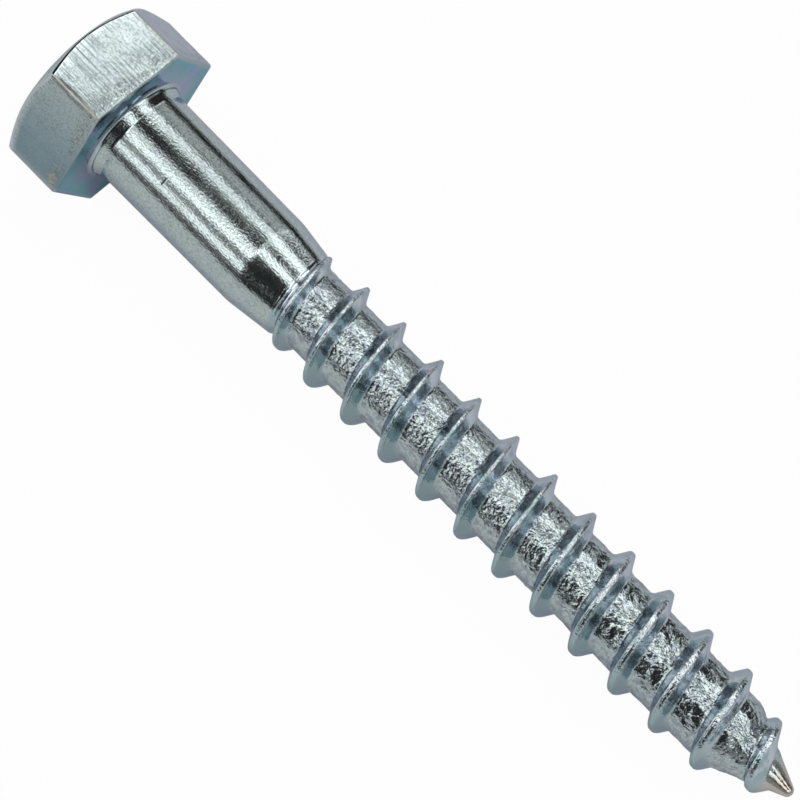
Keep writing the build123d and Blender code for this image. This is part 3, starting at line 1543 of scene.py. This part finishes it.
@dataclass(frozen=True)
class PressedPlate(ZincPlate):
    """Zinc over faces that a die pressed flat: smooth, and stained teal and violet under the head.

    Attributes:
        film_and_shade_tone: Colour of the film where it is teal.
        violet: Colour of the film where it is violet.
        film_edges: Range of the clouds over which violet goes over into teal.
        scuff_size: Width of a scuff on the top of the head, where other screws have knocked it.
        scuff_slope: How steep the scuffs are.
        scuff_roughness: Roughness of the scuffed top.
        scuff_tone: Colour of the plate where it is scuffed.
        scuff_edges: Range of the pattern over which a scuff sets in.
        scuff_share: How far the scuffs go.
    """

    roughness: float = 0.1
    roughness_spread: float = 0.03
    grain: Pair = (0.25, 0.25)
    grain_slope: float = 0.025
    wave_slope: float = 0.018
    speck_share: float = 0.15
    film_and_shade_tone: str = "#7CBAC0"
    violet: str = "#A5A9D0"
    film_edges: Pair = (0.34, 0.5)
    scuff_size: float = 0.45
    scuff_slope: float = 0.075
    scuff_roughness: float = 0.17
    scuff_tone: str = "#8B9798"
    scuff_edges: Pair = (0.42, 0.72)
    scuff_share: float = 0.55

    def relief(self, tree: bpy.types.NodeTree) -> list[Layer]:
        """Adds scuffs on the top, where other screws have knocked it.

        Args:
            tree: Node tree of the material.

        Returns:
            The layers.
        """
        cells = (self.scuff_size, self.scuff_size)
        scuffs = self.bumps(tree, cells, self.scuff_slope, detail=2.0, mark=Mark.WORN)
        return [*super().relief(tree), scuffs]

    def coats(self, tree: bpy.types.NodeTree) -> list[Coat]:
        """Lays a film over the face under the head, violet near the neck, and dulls the scuffs.

        Args:
            tree: Node tree of the material.

        Returns:
            The coats, the lowest first.
        """
        film_and_shade, near_neck, worn = (
            add_node(tree, "ShaderNodeAttribute", attribute_name=mark).outputs["Fac"]
            for mark in (Mark.FILM_AND_SHADE, Mark.VIOLET, Mark.WORN)
        )
        clouds = self.patches(tree, (self.tint_size, self.tint_size), self.film_edges)
        rest = {0: clouds, 1: near_neck}
        teal = add_node(tree, "ShaderNodeMath", rest, operation="SUBTRACT", use_clamp=True).outputs[0]
        film = self.coated(tree, self.violet, [(teal, linear(self.film_and_shade_tone))])
        spots = self.patches(tree, (self.scuff_size, self.scuff_size), self.scuff_edges, self.scuff_share)
        scuffs = add_node(tree, "ShaderNodeMath", {0: spots, 1: worn}, operation="MULTIPLY").outputs[0]
        return [*super().coats(tree), (film_and_shade, film), (scuffs, linear(self.scuff_tone))]

    def levels(self) -> dict[Mark, float]:
        """Roughness of the scuffed top."""
        return {Mark.WORN: self.scuff_roughness}


@dataclass
class LagScrew:
    """The whole screw as one plated piece.

    Attributes:
        head: Hexagon head.
        shank: Neck, shank and waist.
        thread: Wood thread.
        point: Gimlet point.
        weld: Distance within which points of the surface become one.
        name: Name of the piece.
        node: Construction node that the piece stands for.
        slot: Material slot of the record; not used.
    """

    head: Head = field(default_factory=Head)
    shank: Shank = field(default_factory=Shank)
    thread: Thread = field(default_factory=Thread)
    point: Point = field(default_factory=Point)
    weld: float = 0.002
    name: str = "plated_lag_screw"
    node: str = "lag_screw"
    slot: str = "zinc_plated_steel"

    def build(self) -> bpy.types.Object:
        """Builds the piece, lays it where its node lies and dresses it.

        Returns:
            The piece.
        """
        skin = Skin()
        columns = self.thread.columns()
        last = self.head.build(skin, columns, self.shank.face_radius())
        last = self.shank.build(skin, columns, last, self.thread.lower)
        last = self.thread.build(skin, last, self.shank, self.point)
        self.point.build(skin, columns, last)
        piece = skin.make(self.name, self.weld, self.resting_place())
        self.dress(piece)
        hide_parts(self.node)
        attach(piece, "root")
        return piece

    def resting_place(self) -> Matrix:
        """Works out from the mounts where the screw's own axes lie.

        Returns:
            The matrix from the screw's own axes, with the bearing face at 0, to the frame.
        """
        mounts = {mount["name"]: mount for mount in frame["record"]["mounts"]}
        along = Vector(mounts["shank"]["axis"]).normalized()
        in_shank = Vector(mounts["shank"]["pos_m"])
        on_face = Vector(mounts["bearing_face"]["pos_m"])
        centre = in_shank + along * (on_face - in_shank).dot(along)
        side = Vector((0, 0, 1)).cross(along).normalized()
        return axes_matrix(along, side, along.cross(side), centre)

    def dress(self, piece: bpy.types.Object) -> None:
        """Gives each zone its finish.

        Args:
            piece: The piece.
        """
        finishes: dict[Zone, ZincPlate] = {
            Zone.PRESSED: PressedPlate("zinc_on_pressed_steel"),
            Zone.TRIMMED: TrimmedPlate("zinc_on_trimmed_steel"),
            Zone.DRAWN: DrawnPlate("zinc_on_drawn_steel", dents=(self.shank.dent_place(),)),
            Zone.ROLLED: RolledPlate("zinc_on_rolled_steel"),
        }
        for zone in Zone:
            piece.data.materials.append(finishes[zone].make())


def hang_lamp(name: str, size: Pair, level: float, matrix: Matrix) -> bpy.types.Object:
    """Hangs a soft rectangular lamp that the camera doesn't see.

    Args:
        name: Name of the lamp.
        size: Length and width, in metres.
        level: Brightness, where 1 is white.
        matrix: Matrix from the lamp's own axes to the frame.

    Returns:
        The lamp.
    """
    length, width = size
    light = bpy.data.lights.new(name, "AREA")
    light.shape = "RECTANGLE"
    light.size = length
    light.size_y = width
    light.energy = level * math.pi * length * width
    lamp = bpy.data.objects.new(name, light)
    lamp.matrix_world = matrix
    lamp.visible_camera = False
    bpy.context.scene.collection.objects.link(lamp)
    return lamp


@dataclass(frozen=True)
class StripLamp:
    """A long soft lamp that runs along the screw.

    Attributes:
        name: Name of the lamp.
        tilt: Where it starts and ends round the screw, in degrees from straight up to the front.
        reach: Where it starts and ends along the screw, in degrees from straight up to the point.
        level: Brightness, where 1 is white.
    """

    name: str
    tilt: Pair
    reach: Pair
    level: float

    def build(self, distance: float, middle: Vector) -> bpy.types.Object:
        """Hangs the lamp.

        Args:
            distance: Distance from the screw, in metres.
            middle: Middle of the screw.

        Returns:
            The lamp.
        """
        start, end = (distance * math.tan(math.radians(angle)) for angle in self.reach)
        low, high = (math.radians(angle) for angle in self.tilt)
        width = 2 * distance * math.tan((high - low) / 2)
        turn = (low + high) / 2
        away = Vector((0, -math.sin(turn), math.cos(turn)))
        along = Vector((1, 0, 0))
        stand = middle + away * distance + along * (start + end) / 2
        matrix = axes_matrix(along, away.cross(along), away, stand)
        return hang_lamp(self.name, (end - start, width), self.level, matrix)


@dataclass
class Studio:
    """White table, dark tent and strip lamps.

    Attributes:
        lamps: Strip lamps round the screw.
        lamp_distance: Distance of the lamps, in metres.
        end_panel_size: Width and height of the dim panel beyond the point, in metres.
        end_panel_distance: Distance of that panel, in metres.
        end_panel_level: Brightness of that panel.
        table_radius: Radius of the table, in metres.
        table_sides: Sides with which the round table is drawn.
        card: Colour of the table's card.
        white: Colour of the even white and of the tent's glow.
        seen_share: How much of the table's white is even, as the camera sees it.
        mirrored_share: How much of the table's white is even in reflections.
        tent_radius: Radius of the tent, in metres.
        tent_hem: How far the tent hangs below the table, as a share of its radius.
        tent_sides: Sides and rings with which the tent is drawn.
        tent_level: Brightness of the tent's cloth.
    """

    lamps: tuple[StripLamp, ...] = (
        StripLamp("back_wall_head_lamp", (-73, -46), (-60, -10), 0.48),
        StripLamp("back_wall_point_lamp", (-73, -46), (-10, -2.5), 1.1),
        StripLamp("back_strip_head_lamp", (-41, -10), (-32, -18.6), 2.1),
        StripLamp("back_strip_shank_lamp", (-41, -20), (-18.6, -11), 0.95),
        StripLamp("back_strip_thread_lamp", (-41, -20), (-11, -7), 2.4),
        StripLamp("back_strip_point_lamp", (-41, -18), (-7, 60), 1.75),
        StripLamp("top_strip_lamp", (1, 19), (-8, 60), 1.8),
        StripLamp("top_fill_lamp", (-18, 1), (-9.5, 0), 0.8),
        StripLamp("front_edge_lamp", (12, 27), (-70, -11.5), 0.8),
        StripLamp("front_strip_lamp", (27, 41), (-70, -11.5), 1.65),
        StripLamp("front_thread_lamp", (14, 38), (-11.5, -6), 2.7),
        StripLamp("front_fill_lamp", (41, 56), (-70, -28), 1.3),
        StripLamp("front_gap_lamp", (41, 56), (-28, -11.5), 0.36),
        StripLamp("low_front_strip_lamp", (56, 72), (-70, -6), 1.5),
        StripLamp("low_edge_lamp", (72, 84), (-70, -6), 0.17),
        StripLamp("front_point_lamp", (19, 34), (43, 60), 1.4),
    )
    lamp_distance: float = 0.5
    end_panel_size: Pair = (2.0, 0.34)
    end_panel_distance: float = 0.6
    end_panel_level: float = 0.3
    table_radius: float = 6.0
    table_sides: int = 64
    card: str = "#F7F7F7"
    white: str = "#FFFFFF"
    seen_share: float = 0.97
    mirrored_share: float = 0.09
    tent_radius: float = 2.0
    tent_hem: float = 0.01
    tent_sides: tuple[int, int] = (48, 24)
    tent_level: float = 0.022

    def build(self, middle: Vector) -> None:
        """Sets up the table, the tent, the lamps and the white beyond them.

        Args:
            middle: Middle of the screw.
        """
        for lamp in self.lamps:
            lamp.build(self.lamp_distance, middle)
        self.end_panel()
        self.table()
        self.tent()
        self.room()

    def end_panel(self) -> bpy.types.Object:
        """Stands a dim panel on the table beyond the point, which fills the flanks of the thread.

        Returns:
            The panel.
        """
        stand = Vector((self.end_panel_distance, 0, self.end_panel_size[1] / 2))
        matrix = axes_matrix(Vector((0, 1, 0)), Vector((0, 0, 1)), Vector((1, 0, 0)), stand)
        return hang_lamp("point_end_panel", self.end_panel_size, self.end_panel_level, matrix)

    def background_rays(self, tree: bpy.types.NodeTree, seen: float, mirrored: float) -> Socket:
        """Works out the share of even white that the camera sees, directly or in metal and glass.

        Args:
            tree: Node tree of the material or the world.
            seen: Share for the camera.
            mirrored: Share for reflections and what is seen through glass.

        Returns:
            The share.
        """
        rays = add_node(tree, "ShaderNodeLightPath").outputs
        either = {0: rays["Is Glossy Ray"], 1: rays["Is Transmission Ray"]}
        bounced = add_node(tree, "ShaderNodeMath", either, operation="MAXIMUM").outputs[0]
        share = add_node(tree, "ShaderNodeMath", {0: bounced, 1: mirrored}, operation="MULTIPLY").outputs[0]
        inputs = {0: rays["Is Camera Ray"], 1: seen, 2: share}
        return add_node(tree, "ShaderNodeMath", inputs, operation="MULTIPLY_ADD").outputs[0]

    def stage_piece(self, name: str, material_name: str, shape: bmesh.types.BMesh) -> bpy.types.Object:
        """Makes a piece of the studio from its shape, with an empty material.

        Args:
            name: Name of the piece.
            material_name: Name of the material.
            shape: Shape of the piece, which is freed.

        Returns:
            The piece.
        """
        mesh = bpy.data.meshes.new(name)
        shape.to_mesh(mesh)
        shape.free()
        material = bpy.data.materials.new(material_name)
        material.use_nodes = True
        material.node_tree.nodes.clear()
        mesh.materials.append(material)
        piece = bpy.data.objects.new(name, mesh)
        bpy.context.scene.collection.objects.link(piece)
        return piece

    def table(self) -> bpy.types.Object:
        """Lays a matt white table that keeps the shadow of the screw.

        Returns:
            The table.
        """
        shape = bmesh.new()
        bmesh.ops.create_circle(shape, cap_ends=True, segments=self.table_sides, radius=self.table_radius)
        table = self.stage_piece("table", "matt_white_card", shape)
        tree = table.active_material.node_tree
        card = add_node(tree, "ShaderNodeBsdfDiffuse", {"Color": linear(self.card)})
        white = add_node(tree, "ShaderNodeEmission", {"Color": linear(self.white), "Strength": 1.0})
        share = self.background_rays(tree, self.seen_share, self.mirrored_share)
        inputs = {0: share, 1: card.outputs[0], 2: white.outputs[0]}
        both = add_node(tree, "ShaderNodeMixShader", inputs)
        add_node(tree, "ShaderNodeOutputMaterial", {"Surface": both.outputs[0]})
        return table

    def tent(self) -> bpy.types.Object:
        """Hangs a dark tent over the table, which the metal mirrors and the camera doesn't see.

        Returns:
            The tent.
        """
        sides, rings = self.tent_sides
        shape = bmesh.new()
        bmesh.ops.create_uvsphere(shape, u_segments=sides, v_segments=rings, radius=self.tent_radius)
        below = [vertex for vertex in shape.verts if vertex.co.z < -self.tent_hem * self.tent_radius]
        bmesh.ops.delete(shape, geom=below, context="VERTS")
        tent = self.stage_piece("dark_tent", "dark_tent_cloth", shape)
        tree = tent.active_material.node_tree
        inputs = {"Color": linear(self.white), "Strength": self.tent_level}
        cloth = add_node(tree, "ShaderNodeEmission", inputs)
        add_node(tree, "ShaderNodeOutputMaterial", {"Surface": cloth.outputs[0]})
        tent.visible_camera = False
        return tent

    def room(self) -> None:
        """Makes it white beyond the table and the tent."""
        world = bpy.data.worlds.new("white_room")
        bpy.context.scene.world = world
        world.use_nodes = True
        tree = world.node_tree
        share = self.background_rays(tree, seen=1.0, mirrored=1.0)
        inputs = {"Color": linear(self.white), "Strength": share}
        background = add_node(tree, "ShaderNodeBackground", inputs)
        tree.links.new(background.outputs[0], tree.nodes["World Output"].inputs["Surface"])


@dataclass
class Camera:
    """Camera of the photograph, which looks down on the screw from the side of its point.

    Attributes:
        stand: Place of the camera in the frame.
        aim: Point of the screw's centre line in the middle of the picture.
        roll: Angle from the picture's right edge down to the screw, in radians.
        lens: Focal length on the sensor's width.
        sensor: Width of the sensor.
    """

    stand: tuple[float, float, float] = (60.436, -95.959, 267.305)
    aim: tuple[float, float, float] = (-2.954, -0.096, 6.446)
    roll: float = math.radians(45.344)
    lens: float = 152.78
    sensor: float = 36.0

    def build(self, axis: Vector) -> bpy.types.Object:
        """Sets the camera up.

        Args:
            axis: Direction of the screw's centre line.

        Returns:
            The camera.
        """
        lens = bpy.data.cameras.new("photo_camera")
        lens.lens = self.lens
        lens.sensor_width = self.sensor
        camera = bpy.data.objects.new("photo_camera", lens)
        stand = Vector(self.stand) * MM
        ahead = (Vector(self.aim) * MM - stand).normalized()
        screw = (axis - ahead * axis.dot(ahead)).normalized()
        across = ahead.cross(screw)
        right = screw * math.cos(self.roll) - across * math.sin(self.roll)
        up = -(screw * math.sin(self.roll) + across * math.cos(self.roll))
        camera.matrix_world = axes_matrix(right, up, -ahead, stand)
        bpy.context.scene.collection.objects.link(camera)
        bpy.context.scene.camera = camera
        return camera


def main() -> None:
    """Builds the screw, the studio and the camera."""
    logging.basicConfig(level=logging.INFO, format="%(name)s: %(message)s")
    bpy.context.scene.view_settings.view_transform = "Standard"
    screw = LagScrew()
    piece = screw.build()
    LOG.info("%s has %d faces and rides on root", piece.name, len(piece.data.polygons))
    low, high = CAD_BOX
    Studio().build((low + high) / 2)
    LOG.info("studio is lit")
    camera = Camera().build(screw.resting_place().col[0].to_3d())
    LOG.info("%s is set", camera.name)


if __name__ == "__main__":
    main()
